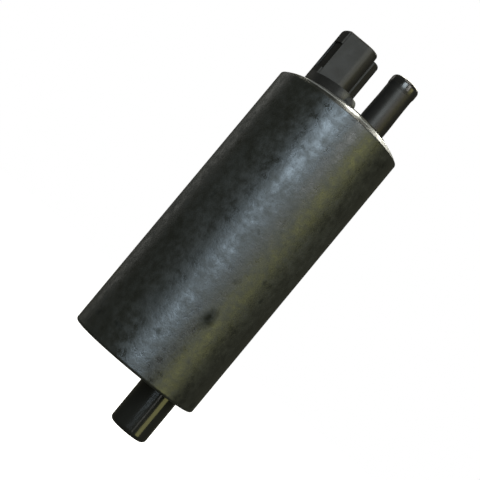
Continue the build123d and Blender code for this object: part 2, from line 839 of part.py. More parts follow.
with BuildPart() as impeller:
    with BuildSketch(Plane.XY.offset(impeller_base)):
        Circle(impeller_radius)
        with BuildSketch(mode=Mode.PRIVATE) as drive_hole:
            Circle(shaft_radius + fit_gap)
            with Locations((-shaft_flat_depth + fit_gap, 0)):
                Rectangle(2 * shaft_radius, 3 * shaft_radius, mode=Mode.INTERSECT)
        add(drive_hole.sketch, mode=Mode.SUBTRACT)
    extrude(amount=impeller_thickness)
    with BuildSketch(Plane.XY.offset(impeller_base)):
        add(vane_pockets.sketch)
    extrude(amount=vane_pocket_depth, mode=Mode.SUBTRACT)
    with BuildSketch(Plane.XY.offset(impeller_base + impeller_thickness)):
        add(vane_pockets.sketch)
    extrude(amount=-vane_pocket_depth, mode=Mode.SUBTRACT)
save(impeller.part, "impeller")

# Pad under the shaft end
with BuildPart() as thrust_pad:
    with BuildSketch(Plane.XY.offset(pad_base)):
        Circle(pad_radius)
    extrude(amount=pad_height)
save(thrust_pad.part, "thrust_pad")

# Inlet cover: disc held by the base lip, its inlet stub and the lower half of the channel
stub_tip = shell_base - stub_length
stub_root_radius = stub_radius + 1.2 * stub_root_round
cover_face = cover_seat_level - cover_proud
with BuildPart() as inlet_cover:
    with BuildSketch(Plane.XY.offset(cover_seat_level)):
        Circle(flange_radius)
    extrude(amount=cover_thickness)
    with BuildSketch(Plane.XY.offset(cover_seat_level)):
        Circle(cover_neck_radius)
    extrude(amount=-cover_proud)
    chamfer(inlet_cover.faces().sort_by(Axis.Z)[0].edges(), cover_neck_chamfer)
    with BuildSketch(Plane.XZ) as stub_section:
        with BuildLine():
            Polyline(
                (stub_offset, cover_seat_level),
                (stub_offset + stub_root_radius, cover_seat_level),
                (stub_offset + stub_root_radius, cover_face),
                (stub_offset + stub_radius, cover_face),
                (stub_offset + stub_radius, stub_tip),
                (stub_offset, stub_tip),
                close=True,
            )
        make_face()
        root_corner = stub_section.vertices().group_by(Axis.Y)[1].sort_by(Axis.X)[0]
        fillet(root_corner, stub_root_round)
        tip_corner = stub_section.vertices().group_by(Axis.Y)[0].sort_by(Axis.X)[-1]
        fillet(tip_corner, stub_tip_round)
    revolve(axis=Axis((stub_offset, 0, 0), (0, 0, 1)))
    with BuildSketch(Plane.XY.offset(stub_tip)):
        with Locations((stub_offset, 0)):
            Circle(stub_bore_radius)
    extrude(amount=cover_top - stub_tip, mode=Mode.SUBTRACT)
    with BuildSketch(Plane.XY.offset(cover_top)):
        add(channel_outline.sketch)
    extrude(amount=-channel_depth, mode=Mode.SUBTRACT)
    with BuildSketch(Plane.XY.offset(cover_top)):
        Circle(pad_radius + press_gap)
    extrude(amount=-pad_recess, mode=Mode.SUBTRACT)
save(inlet_cover.part, "inlet_cover")
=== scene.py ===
import math

import bpy
from mathutils import Matrix, Vector


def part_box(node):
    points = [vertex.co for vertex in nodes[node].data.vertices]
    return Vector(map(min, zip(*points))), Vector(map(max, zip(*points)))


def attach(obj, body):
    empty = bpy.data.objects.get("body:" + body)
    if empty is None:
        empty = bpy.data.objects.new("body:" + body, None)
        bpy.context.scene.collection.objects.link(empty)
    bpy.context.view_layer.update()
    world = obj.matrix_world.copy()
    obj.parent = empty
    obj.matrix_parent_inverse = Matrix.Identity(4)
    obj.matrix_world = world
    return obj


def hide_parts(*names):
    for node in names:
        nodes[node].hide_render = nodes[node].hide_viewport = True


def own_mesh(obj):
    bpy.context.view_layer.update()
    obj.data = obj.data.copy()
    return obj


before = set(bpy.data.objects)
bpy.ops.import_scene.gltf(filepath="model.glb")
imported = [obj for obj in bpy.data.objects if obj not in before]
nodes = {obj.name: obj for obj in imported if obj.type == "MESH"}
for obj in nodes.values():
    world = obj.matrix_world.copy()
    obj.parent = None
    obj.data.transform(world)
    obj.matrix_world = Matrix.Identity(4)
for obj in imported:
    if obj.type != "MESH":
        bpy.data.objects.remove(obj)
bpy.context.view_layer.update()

# Camera: level with the lower half of the shell and looking a little up at it, square to the side
# that has the plug on the left and the outlet on the right, rolled so that the pump leans to the right.
CAMERA_DISTANCE = 0.3468
CAMERA_LEVEL = -0.0148
LOOKS_UP = math.radians(2.618)
LOOKS_ASIDE = math.radians(-0.068)
ROLL = math.radians(39.709)
LENS = 101.49
SENSOR_WIDTH = 36.0
NEAREST_SEEN = 0.01
FARTHEST_SEEN = 50.0

camera_data = bpy.data.cameras.new("camera")
camera_data.lens = LENS
camera_data.sensor_width = SENSOR_WIDTH
camera_data.clip_start = NEAREST_SEEN
camera_data.clip_end = FARTHEST_SEEN
camera = bpy.data.objects.new("camera", camera_data)
bpy.context.scene.collection.objects.link(camera)
turned_up = Matrix.Rotation(math.radians(90) + LOOKS_UP, 4, "X")
turned_aside = Matrix.Rotation(LOOKS_ASIDE, 4, "Z")
rolled = Matrix.Rotation(ROLL, 4, "Z")
stands_at = Matrix.Translation(Vector((0, -CAMERA_DISTANCE, CAMERA_LEVEL)))
camera.matrix_world = stands_at @ turned_aside @ turned_up @ rolled
bpy.context.scene.camera = camera


# Shell: a length of steel tube with a thin satin black coating, mottled, a little rubbed and stained.
# Its ends are rolled in over the cap and the inlet cover, and the rolling left the top lip bare.
SHELL_COATING = (0.0090, 0.0090, 0.0070)
SHELL_COATING_WORN = (0.0145, 0.0145, 0.0115)
SHELL_STAIN = (0.006, 0.0065, 0.004)
BARE_STEEL = (0.72, 0.71, 0.67)
CLOUD_SIZE = 0.0095
MOTTLE_SIZE = 0.0021
GRAIN_SIZE = 0.00045
STAIN_SIZE = 0.0045
COATING_RELIEF = 0.00012
COATING_ROUGHNESS = 0.375
CLOUD_CONTRAST = 0.45
MOTTLE_CONTRAST = 0.72
BARE_ROUGHNESS = 0.30
STAIN_FULL = 0.24
STAIN_GONE = 0.34
STAIN_STRENGTH = 0.5
STAIN_METALLIC = 0.85
STAIN_ROUGHER = 0.22
LIP_STARTS = 0.04118
LIP_BARE = 0.0163
LIP_COATED = 0.0175
LIP_RAGGED = 0.0006
HANDLED_CORE = 0.010
HANDLED_REACH = 0.034
HANDLED_ROUGHER = 0.10
SMUDGE_PLACE = (0.0066, -0.0178, -0.0192)
SMUDGE_CORE = 0.0004
SMUDGE_REACH = 0.0027
SMUDGE_RAGGED = 0.004
SPOT_PLACE = (0.0140, -0.0128, -0.0080)
SPOT_CORE = 0.0001
SPOT_REACH = 0.0011
SPOT_RAGGED = 0.001
SPOT_STRENGTH = 0.8
DULL_PLACE = (-0.0062, -0.0180, -0.0250)
DULL_CORE = 0.0010
DULL_REACH = 0.0042
DULL_RAGGED = 0.008
DULL_ROUGHER = 0.16


class Value:
    """One output of a shader node. Sums, products and powers of it add Math nodes."""

    def __init__(self, maker, output):
        self.maker = maker
        self.output = output

    def math(self, operation, *values):
        return self.maker.node("ShaderNodeMath", {"operation": operation}, dict(enumerate(values)))

    def __add__(self, other):
        return self.math("ADD", self, other)

    def __sub__(self, other):
        return self.math("SUBTRACT", self, other)

    def __rsub__(self, other):
        return self.math("SUBTRACT", other, self)

    def __mul__(self, other):
        return self.math("MULTIPLY", self, other)

    def __truediv__(self, other):
        return self.math("DIVIDE", self, other)

    def __pow__(self, other):
        return self.math("POWER", self, other)

    def __lt__(self, other):
        return self.math("LESS_THAN", self, other)

    def __gt__(self, other):
        return self.math("GREATER_THAN", self, other)

    def __abs__(self):
        return self.math("ABSOLUTE", self)

    __radd__ = __add__
    __rmul__ = __mul__


class Nodes:
    """A node tree whose nodes all come from one method."""

    def __init__(self, tree):
        self.tree = tree

    def join(self, socket, value):
        """Links a value to a socket, or sets the socket to a number, a vector or a colour."""
        if isinstance(value, Value):
            self.tree.links.new(value.output, socket)
        elif socket.type == "RGBA":
            socket.default_value = (*value, 1.0)
        else:
            socket.default_value = value

    def node(self, kind, settings, sockets, output=0):
        """A node of a kind, with its settings made first, and then its sockets."""
        made = self.tree.nodes.new(kind)
        for name, value in settings.items():
            if name == "stops":
                ramp = made.color_ramp.elements
                ramp[0].position = value[0][0]
                ramp[1].position = value[-1][0]
                for position, shade in value[1:-1]:
                    ramp.new(position)
                for element, (position, shade) in zip(ramp, value):
                    element.color = (shade, shade, shade, 1.0)
            else:
                setattr(made, name, value)
        for key, value in sockets.items():
            self.join(made.inputs[key], value)
        return Value(self, made.outputs[output])


class Finish(Nodes):
    """A material made of patterns in metres, and given to pieces by name."""

    def __init__(self, name, **constants):
        self.material = bpy.data.materials.new(name)
        self.material.use_nodes = True
        super().__init__(self.material.node_tree)
        self.shader = self.tree.nodes["Principled BSDF"]
        self.place = self.node("ShaderNodeTexCoord", {}, {}, "Object")
        self.set(**constants)

    def set(self, **inputs):
        """Values for the shader's inputs, each named in small letters, such as base_color."""
        for name, value in inputs.items():
            socket_name = name.replace("_", " ").title().replace("Ior", "IOR")
            self.join(self.shader.inputs[socket_name], value)

    def noise(self, size, detail=3.0, roughness=0.5, stretch=(1, 1, 1), shift=0.0):
        """Cloudy pattern with lumps of a size in metres, stretched along the axes."""
        scale = tuple(1 / (size * along) for along in stretch)
        mapping = {"Vector": self.place, "Scale": scale, "Location": (shift, shift, shift)}
        place = self.node("ShaderNodeMapping", {}, mapping)
        sockets = {"Vector": place, "Scale": 1.0, "Detail": detail, "Roughness": roughness}
        return self.node("ShaderNodeTexNoise", {}, sockets, "Fac")

    def steps(self, value, *stops):
        """The value passed through a curve of stops."""
        return self.node("ShaderNodeValToRGB", {"stops": stops}, {"Fac": value}, "Color")

    def fade(self, value, full, gone):
        """A value that is 1 up to one limit and falls to 0 at another."""
        sockets = {"Value": value, "From Min": full, "From Max": gone, "To Min": 1.0, "To Max": 0.0}
        return self.node("ShaderNodeMapRange", {"clamp": True}, sockets)

    def blend(self, factor, first, second):
        """Colour between two colours."""
        return self.node("ShaderNodeMix", {"data_type": "RGBA"}, {0: factor, 6: first, 7: second}, 2)

    def along(self, axis):
        """Distance along one axis of the frame, in metres."""
        return self.node("ShaderNodeSeparateXYZ", {}, {"Vector": self.place}, axis)

    def distance(self, centre, axes=(1, 1, 1)):
        """Distance from a point, counted more or less along each axis."""
        offset = self.node("ShaderNodeVectorMath", {"operation": "SUBTRACT"}, {0: self.place, 1: centre})
        kept = self.node("ShaderNodeVectorMath", {"operation": "MULTIPLY"}, {0: offset, 1: axes})
        return self.node("ShaderNodeVectorMath", {"operation": "LENGTH"}, {0: kept}, "Value")

    def from_axis(self, centre=(0, 0, 0)):
        """Distance from the pump's axis, or from an upright line through a point."""
        return self.distance(centre, (1, 1, 0))

    def relief(self, height, depth):
        """Unevenness of the surface, from a height between 0 and 1 that stands for a depth in metres."""
        return self.node("ShaderNodeBump", {}, {"Height": height, "Distance": depth}, "Normal")

    def give(self, *names):
        """Puts the material on the pieces as they come from the frame."""
        for name in names:
            for slot in nodes[name].material_slots:
                slot.material = self.material


shell_finish = Finish("shell_coated_steel", specular_ior_level=0.5, specular_tint=(0.90, 0.95, 1.0))
cloud = shell_finish.noise(CLOUD_SIZE, detail=6.0, roughness=0.62)
mottle = shell_finish.noise(MOTTLE_SIZE, detail=4.0, roughness=0.60, shift=3.0)
grain = shell_finish.noise(GRAIN_SIZE, detail=3.0, roughness=0.6, shift=7.0)
stains = shell_finish.noise(STAIN_SIZE, detail=3.0, shift=15.0)
ragged = mottle - 0.5
from_smudge = shell_finish.distance(SMUDGE_PLACE, (1.1, 1.0, 0.75)) + ragged * SMUDGE_RAGGED
from_spot = shell_finish.distance(SPOT_PLACE, (1.2, 1.2, 0.8)) + ragged * SPOT_RAGGED
from_dull = shell_finish.distance(DULL_PLACE) + ragged * DULL_RAGGED
stained = shell_finish.fade(from_smudge, SMUDGE_CORE, SMUDGE_REACH)
stained = stained + shell_finish.fade(from_spot, SPOT_CORE, SPOT_REACH) * SPOT_STRENGTH
stained = stained + shell_finish.fade(stains, STAIN_FULL, STAIN_GONE) * STAIN_STRENGTH
dull = shell_finish.fade(from_dull, DULL_CORE, DULL_REACH)
handled = shell_finish.fade(abs(shell_finish.along("Z")), HANDLED_CORE, HANDLED_REACH)
from_middle = shell_finish.from_axis() + ragged * LIP_RAGGED
bare = shell_finish.fade(from_middle, LIP_BARE, LIP_COATED) * (shell_finish.along("Z") > LIP_STARTS)
worn = shell_finish.steps(cloud * 0.5 + mottle * 0.5, (0.38, 0.0), (0.62, 1.0))
coating = shell_finish.blend(worn, SHELL_COATING, SHELL_COATING_WORN)
coating = shell_finish.blend(stained * 0.8, coating, SHELL_STAIN)
satin = COATING_ROUGHNESS + (cloud - 0.5) * CLOUD_CONTRAST + (mottle - 0.5) * MOTTLE_CONTRAST
satin = satin + handled * HANDLED_ROUGHER + dull * DULL_ROUGHER + stained * STAIN_ROUGHER
shell_finish.set(
    base_color=shell_finish.blend(bare, coating, BARE_STEEL),
    metallic=bare + stained * STAIN_METALLIC,
    roughness=(1 - bare) * satin + bare * BARE_ROUGHNESS,
    normal=shell_finish.relief((grain * 0.15 + mottle * 0.85) * (1 - bare * 0.7), COATING_RELIEF),
)
shell_finish.give("shell")


# End cap: one moulding in black plastic. The tower is matt, with a painted highlight on its front corners
# and painted shade on its left wall and in its latch recess. The nipple, which seals a hose, is polished,
# its nose and the ridge's front end are rubbed smooth, and a painted highlight lightens the ridge's end
# and the step's corner.
CAP_PLASTIC = (0.0060, 0.0058, 0.0054)
CAP_PLASTIC_PALE = (0.012, 0.0115, 0.0105)
# Painted highlight colour for the tower's front corners.
CORNER_HIGHLIGHT = (0.032, 0.031, 0.029)
# Painted highlight colour for the ridge's end and the step's front corner.
RIDGE_AND_STEP_HIGHLIGHT = (0.085, 0.083, 0.075)
# Painted shade colour for the latch recess and the tower's left wall.
POCKET_AND_WALL_SHADE = (0.002, 0.002, 0.0016)
CAP_FLOW_SIZE = 0.004
CAP_SKIN_SIZE = 0.00018
CAP_SKIN_DEPTH = 0.00002
CAP_ROUGHNESS = 0.56
CAP_FLOW_CONTRAST = 0.30
SHADE_ROUGHER = 0.2
NIPPLE_PLACE = (0.00775, 0, 0)
NIPPLE_REACH = 0.0045
NIPPLE_SMOOTHER = 0.14
NOSE_STARTS = 0.0570
NOSE_FULL = 0.0584
NOSE_SMOOTHER = 0.22
NOSE_GLOSS = 0.5
RIDGE_END = (0.0007, -0.0118, 0.0448)
RIDGE_CORE = 0.0006
RIDGE_REACH = 0.0013
RIDGE_SMOOTHER = 0.30
RIDGE_GLOSS = 0.8
GLOSS_ROUGHNESS = 0.16
STEP_CORNER = (-0.0021, -0.0132, 0.0449)
STEP_CORE = 0.0005
STEP_REACH = 0.0017
CORNER_X = -0.0049
CORNER_Y = 0.0066
CORNER_REACH = 0.0010
TOWER_STARTS = 0.0462
LEFT_WALL_RADIUS = 0.0136
POCKET_RADIUS = 0.0132
POCKET_SKIN = 0.00006

cap_finish = Finish("cap_plastic", specular_ior_level=0.215, specular_tint=(1.0, 0.93, 0.85))
skin = cap_finish.noise(CAP_SKIN_SIZE, detail=2.0)
flow = cap_finish.noise(CAP_FLOW_SIZE, detail=5.0, roughness=0.6, shift=4.0)
height = cap_finish.along("Z")
polished = cap_finish.from_axis(NIPPLE_PLACE) < NIPPLE_REACH
nose = polished * cap_finish.fade(height, NOSE_FULL, NOSE_STARTS)
# Painted highlight: the ridge's end and the step's front corner are lightened; the ridge's end is also
# made smoother and given a gloss coat.
ridge_end_rubbed_and_highlight = cap_finish.fade(cap_finish.distance(RIDGE_END), RIDGE_CORE, RIDGE_REACH)
step_corner_highlight = cap_finish.fade(cap_finish.distance(STEP_CORNER, (1, 0.4, 1)), STEP_CORE, STEP_REACH)
# Painted highlight: the tower's rounded front corners are lightened where the lights catch them.
aside = abs(cap_finish.along("Y"))
from_corner = ((cap_finish.along("X") - CORNER_X) ** 2 + (aside - CORNER_Y) ** 2) ** 0.5
corner_highlight = cap_finish.steps(from_corner / CORNER_REACH, (0.4, 1.0), (1.0, 0.0)) * (height > TOWER_STARTS)
from_middle = cap_finish.from_axis()
# Painted shade: the latch recess and the tower's left wall, which faces away from the lights, are
# darkened and made rougher.
pocket = abs(from_middle - POCKET_RADIUS) < POCKET_SKIN
left_wall = from_middle > LEFT_WALL_RADIUS
painted_shade = (pocket + left_wall * (1.1 - flow)) * (height > TOWER_STARTS)
plastic = cap_finish.blend(flow, CAP_PLASTIC, CAP_PLASTIC_PALE)
# Painted highlight on the tower's front corners.
plastic = cap_finish.blend(corner_highlight * (0.4 + flow * 0.6), plastic, CORNER_HIGHLIGHT)
# Painted highlight on the ridge's end and the step's front corner.
plastic = cap_finish.blend(ridge_end_rubbed_and_highlight + step_corner_highlight * 0.5, plastic, RIDGE_AND_STEP_HIGHLIGHT)
smoother = polished * NIPPLE_SMOOTHER + nose * NOSE_SMOOTHER + ridge_end_rubbed_and_highlight * RIDGE_SMOOTHER
# The base colour carries painted shade in the latch recess and on the tower's left wall.
cap_finish.set(
    base_color=cap_finish.blend(painted_shade, plastic, POCKET_AND_WALL_SHADE),
    roughness=CAP_ROUGHNESS - smoother + painted_shade * SHADE_ROUGHER + (flow - 0.5) * CAP_FLOW_CONTRAST,
    coat_weight=nose * NOSE_GLOSS + ridge_end_rubbed_and_highlight * RIDGE_GLOSS,
    coat_roughness=GLOSS_ROUGHNESS,
    normal=cap_finish.relief(skin, CAP_SKIN_DEPTH),
)
cap_finish.give("end_cap")


# Terminals: stamped from brass strip and moulded into the cap. The tips of the blades in the socket
# are tinned, and the flat straps that reach over the brush springs are left as rolled.
BRASS = (0.63, 0.46, 0.20)
BRASS_DULL = (0.42, 0.30, 0.14)
TIN = (0.70, 0.69, 0.66)
TIN_STARTS = 0.0485
TIN_RAGGED = 0.001
BRASS_TARNISH_SIZE = 0.0015
ROLLED_MARK_SIZE = 0.00012
ROLLED_DEPTH = 0.000006

terminal_finish = Finish("terminal_brass", metallic=1.0)
rolled_marks = terminal_finish.noise(ROLLED_MARK_SIZE, detail=2.0, stretch=(1, 1, 20))
tarnish = terminal_finish.noise(BRASS_TARNISH_SIZE, detail=5.0, shift=3.0)
brass = terminal_finish.blend(tarnish, BRASS, BRASS_DULL)
tinned = terminal_finish.along("Z") + (tarnish - 0.5) * TIN_RAGGED > TIN_STARTS
terminal_finish.set(
    base_color=terminal_finish.blend(tinned, brass, TIN),
    roughness=0.26 + tarnish * 0.2 + rolled_marks * 0.1,
    normal=terminal_finish.relief(rolled_marks, ROLLED_DEPTH),
)
terminal_finish.give("terminal_plus", "terminal_minus")


# Seal: a moulded rubber ring in the cap's groove, squeezed against the shell's bore. Its skin is dull
# and faintly powdery.
RUBBER = (0.012, 0.012, 0.013)
RUBBER_BLOOM = (0.035, 0.035, 0.034)
BLOOM_SIZE = 0.0012
BLOOM_DEPTH = 0.00002

seal_finish = Finish("seal_rubber", specular_ior_level=0.3)
bloom = seal_finish.noise(BLOOM_SIZE, detail=6.0, roughness=0.65)
seal_finish.set(
    base_color=seal_finish.blend(bloom, RUBBER, RUBBER_BLOOM),
    roughness=0.55 + bloom * 0.25,
    normal=seal_finish.relief(bloom, BLOOM_DEPTH),
)
seal_finish.give("cap_seal")


# Bearing bushes: pressed and sintered from bronze powder, so they are porous and hold oil. One is
# pressed into the cap and one into the pump casing.
BRONZE = (0.50, 0.30, 0.13)
BRONZE_OILED = (0.22, 0.12, 0.05)
PORE_SIZE = 0.00016
PORE_DEPTH = 0.00002
OIL_STAIN_SIZE = 0.002

bush_finish = Finish("bearing_bronze", metallic=1.0)
powder = bush_finish.noise(PORE_SIZE, detail=2.0)
pores = bush_finish.steps(powder, (0.36, 1.0), (0.44, 0.0))
oil = bush_finish.noise(OIL_STAIN_SIZE, detail=4.0, shift=4.0)
bush_finish.set(
    base_color=bush_finish.blend(pores * 0.7 + oil * 0.3, BRONZE, BRONZE_OILED),
    roughness=0.30 + pores * 0.4 + oil * 0.1,
    normal=bush_finish.relief(1 - pores, PORE_DEPTH),
)
bush_finish.give("upper_bearing", "lower_bearing")


# Brushes: sawn blocks of carbon that slide in the cap's guides. Each has a lead of twisted copper
# wire in a hole in its back, and a coil spring round the lead that presses it on the commutator.
CARBON = (0.016, 0.016, 0.017)
CARBON_SHINY = (0.05, 0.05, 0.052)
CARBON_GRAIN_SIZE = 0.00022
SAW_MARK_SIZE = 0.00015
CARBON_RELIEF = 0.00002
BRUSH_OFFSET = 0.0084
BRUSH_BACK = 0.029
STRAP_UNDERSIDE = 0.038
BRUSH_WIRE = 0.0005
BRUSH_SPRING_RADIUS = 0.00185
BRUSH_SPRING_TURNS = 5
SPRING_STEEL = (0.46, 0.45, 0.43)
SPRING_STEEL_STRAW = (0.40, 0.34, 0.24)
TEMPER_STAIN_SIZE = 0.0012
DRAWN_LINE_SIZE = 0.00008
DRAWN_DEPTH = 0.000004
LEAD_FOOT = 0.027
LEAD_STRANDS = 5
LEAD_STRAND_RADIUS = 0.00015
LEAD_STRAND_OFFSET = 0.00024
LEAD_TWISTS = 2.5
COPPER = (0.72, 0.33, 0.17)
COPPER_DARK = (0.40, 0.16, 0.08)
COPPER_TARNISH_SIZE = 0.0008
WIRE_SIDES = 12
STEPS_PER_TURN = 28
WELD_DISTANCE = 0.00001
SMOOTH_BELOW = math.radians(40)

carbon_finish = Finish("brush_carbon", specular_ior_level=0.6)
carbon_grain = carbon_finish.noise(CARBON_GRAIN_SIZE, detail=4.0, roughness=0.7)
saw_marks = carbon_finish.noise(SAW_MARK_SIZE, detail=1.0, stretch=(1, 1, 14), shift=2.0)
carbon_finish.set(
    base_color=carbon_finish.blend(carbon_grain, CARBON, CARBON_SHINY),
    roughness=0.62 - carbon_grain * 0.3,
    normal=carbon_finish.relief(carbon_grain * 0.6 + saw_marks * 0.4, CARBON_RELIEF),
)
carbon_finish.give("brush_plus", "brush_minus")

spring_finish = Finish("spring_steel", metallic=1.0)
temper = spring_finish.noise(TEMPER_STAIN_SIZE, detail=4.0)
drawn = spring_finish.noise(DRAWN_LINE_SIZE, detail=1.0, stretch=(3, 3, 1), shift=3.0)
spring_finish.set(
    base_color=spring_finish.blend(temper, SPRING_STEEL, SPRING_STEEL_STRAW),
    roughness=0.24 + temper * 0.14 + drawn * 0.08,
    normal=spring_finish.relief(drawn, DRAWN_DEPTH),
)

lead_finish = Finish("lead_copper", metallic=1.0)
tarnish = lead_finish.noise(COPPER_TARNISH_SIZE, detail=4.0)
lead_finish.set(
    base_color=lead_finish.blend(tarnish, COPPER, COPPER_DARK),
    roughness=0.28 + tarnish * 0.2,
)


def wound(sections, turns, rise, steps):
    """Sections of wire that stand round the Z axis, wound about it by a Screw modifier."""
    bpy.ops.object.select_all(action="DESELECT")
    for section in sections:
        section.select_set(True)
    bpy.context.view_layer.objects.active = sections[0]
    bpy.ops.object.join()
    coil = bpy.context.active_object
    bpy.ops.object.transform_apply(location=True, rotation=True, scale=True)
    screw = coil.modifiers.new("wound", "SCREW")
    screw.angle = 2 * math.pi * turns
    screw.screw_offset = rise
    screw.steps = steps
    screw.render_steps = steps
    bpy.ops.object.modifier_apply(modifier="wound")
    return coil


def close_and_place(piece, name, place, finish):
    """Welds the seams, closes the cut ends, turns the faces outwards and moves the piece to its place."""
    bpy.ops.object.mode_set(mode="EDIT")
    bpy.ops.mesh.select_all(action="SELECT")
    bpy.ops.mesh.remove_doubles(threshold=WELD_DISTANCE)
    bpy.ops.mesh.fill_holes(sides=0)
    bpy.ops.mesh.select_all(action="SELECT")
    bpy.ops.mesh.normals_make_consistent(inside=False)
    bpy.ops.transform.translate(value=place)
    bpy.ops.object.mode_set(mode="OBJECT")
    bpy.ops.object.shade_smooth_by_angle(angle=SMOOTH_BELOW)
    piece.name = name
    piece.data.name = name
    piece.data.materials.clear()
    piece.data.materials.append(finish.material)


def coil_spring(name, place, base, top, wire, radius, turns):
    """Compression spring with a closed turn at each end. Its top end stays where it is."""
    foot = base + wire / 2
    working_rise = top - base - 3 * wire
    on_edge = (math.radians(90), 0, 0)
    runs = []
    for run_turns, rise in ((1, wire), (turns, working_rise), (1, wire)):
        bpy.ops.mesh.primitive_circle_add(
            vertices=WIRE_SIDES, radius=wire / 2, location=(radius, 0, foot), rotation=on_edge
        )
        runs.append(wound([bpy.context.active_object], run_turns, rise, STEPS_PER_TURN * run_turns))
        foot += rise
    bpy.ops.object.select_all(action="DESELECT")
    for run in runs:
        run.select_set(True)
    bpy.ops.object.join()
    spring = bpy.context.active_object
    close_and_place(spring, name + "_coil", (place[0], place[1], 0), spring_finish)
    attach(spring, "housing")
    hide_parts(name)
    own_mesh(spring)


for side, brush_y in (("plus", -BRUSH_OFFSET), ("minus", BRUSH_OFFSET)):
    coil_spring(
        f"brush_spring_{side}", (0, brush_y), BRUSH_BACK, STRAP_UNDERSIDE,
        BRUSH_WIRE, BRUSH_SPRING_RADIUS, BRUSH_SPRING_TURNS,
    )
    strands = []
    for number in range(LEAD_STRANDS):
        turn = 2 * math.pi * number / LEAD_STRANDS
        strand_x = LEAD_STRAND_OFFSET * math.cos(turn)
        strand_y = LEAD_STRAND_OFFSET * math.sin(turn)
        bpy.ops.mesh.primitive_circle_add(
            vertices=WIRE_SIDES, radius=LEAD_STRAND_RADIUS, location=(strand_x, strand_y, LEAD_FOOT)
        )
        strands.append(bpy.context.active_object)
    lead_rise = STRAP_UNDERSIDE - LEAD_FOOT
    lead = wound(strands, LEAD_TWISTS, lead_rise, round(STEPS_PER_TURN * LEAD_TWISTS))
    close_and_place(lead, f"brush_lead_{side}_twisted", (0, brush_y, 0), lead_finish)
    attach(lead, "housing")
    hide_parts(f"brush_lead_{side}")
    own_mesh(lead)


# Check valve: a turned brass seat pressed into the foot of the outlet chamber, a pale plastic poppet
# that the fuel lifts, and the spring that shuts it.
VALVE_BRASS = (0.66, 0.50, 0.24)
VALVE_BRASS_DULL = (0.48, 0.36, 0.17)
VALVE_TARNISH_SIZE = 0.001
TURNED_PITCH = 0.00012
TURNED_DEPTH = 0.000005
POPPET_PLASTIC = (0.62, 0.58, 0.47)
POPPET_STAINED = (0.48, 0.40, 0.26)
POPPET_STAIN_SIZE = 0.0018
POPPET_SKIN_SIZE = 0.0002
POPPET_SKIN_DEPTH = 0.00001
CHAMBER_TOP = 0.050
CHECK_WIRE = 0.0004
CHECK_SPRING_RADIUS = 0.00245
CHECK_SPRING_TURNS = 6

valve_finish = Finish("valve_brass", metallic=1.0)
dulled = valve_finish.noise(VALVE_TARNISH_SIZE, detail=4.0)
turned = valve_finish.noise(TURNED_PITCH, detail=1.0, stretch=(8, 8, 1), shift=3.0)
valve_finish.set(
    base_color=valve_finish.blend(dulled, VALVE_BRASS, VALVE_BRASS_DULL),
    roughness=0.22 + dulled * 0.14 + turned * 0.1,
    normal=valve_finish.relief(turned, TURNED_DEPTH),
)
valve_finish.give("check_valve_seat", "relief_retainer")

poppet_finish = Finish("poppet_plastic")
stain = poppet_finish.noise(POPPET_STAIN_SIZE, detail=5.0)
skin = poppet_finish.noise(POPPET_SKIN_SIZE, shift=2.0)
poppet_finish.set(
    base_color=poppet_finish.blend(stain, POPPET_PLASTIC, POPPET_STAINED),
    roughness=0.38 + stain * 0.16,
    normal=poppet_finish.relief(skin, POPPET_SKIN_DEPTH),
)
poppet_finish.give("check_valve_poppet")
check_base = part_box("check_valve_spring")[0].z
coil_spring(
    "check_valve_spring", NIPPLE_PLACE, check_base, CHAMBER_TOP,
    CHECK_WIRE, CHECK_SPRING_RADIUS, CHECK_SPRING_TURNS,
)


# Relief valve: a ground steel ball on the seat moulded in the cap, held down by a stiff spring
# under a brass ring that is pressed in at the top.
BALL_STEEL = (0.62, 0.62, 0.61)
BALL_STEEL_WORN = (0.48, 0.47, 0.45)
BALL_WEAR_SIZE = 0.001
BALL_SCRATCH_SIZE = 0.00006
BALL_SCRATCH_DEPTH = 0.000002
RELIEF_PLACE = (0.00579, 0.0076)
RETAINER_UNDERSIDE = 0.04186
RELIEF_WIRE = 0.0004
RELIEF_SPRING_RADIUS = 0.00135
RELIEF_SPRING_TURNS = 4

ball_finish = Finish("ground_steel", metallic=1.0)
ball_wear = ball_finish.noise(BALL_WEAR_SIZE, detail=5.0)
scratches = ball_finish.noise(BALL_SCRATCH_SIZE, detail=1.0, stretch=(1, 6, 1), shift=3.0)
ball_finish.set(
    base_color=ball_finish.blend(ball_wear, BALL_STEEL, BALL_STEEL_WORN),
    roughness=0.14 + ball_wear * 0.1 + scratches * 0.08,
    normal=ball_finish.relief(scratches, BALL_SCRATCH_DEPTH),
)
ball_finish.give("relief_ball", "thrust_pad")
relief_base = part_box("relief_spring")[0].z
coil_spring(
    "relief_spring", RELIEF_PLACE, relief_base, RETAINER_UNDERSIDE,
    RELIEF_WIRE, RELIEF_SPRING_RADIUS, RELIEF_SPRING_TURNS,
)


# Magnets: two arcs of sintered ferrite, ground on their faces, held apart and against the shell
# by two bent plates of spring steel.
FERRITE = (0.030, 0.030, 0.033)
FERRITE_GROUND = (0.075, 0.075, 0.08)
SINTER_SIZE = 0.0003
GROUND_SIZE = 0.0025
CHIP_SIZE = 0.0011
FERRITE_RELIEF = 0.00005

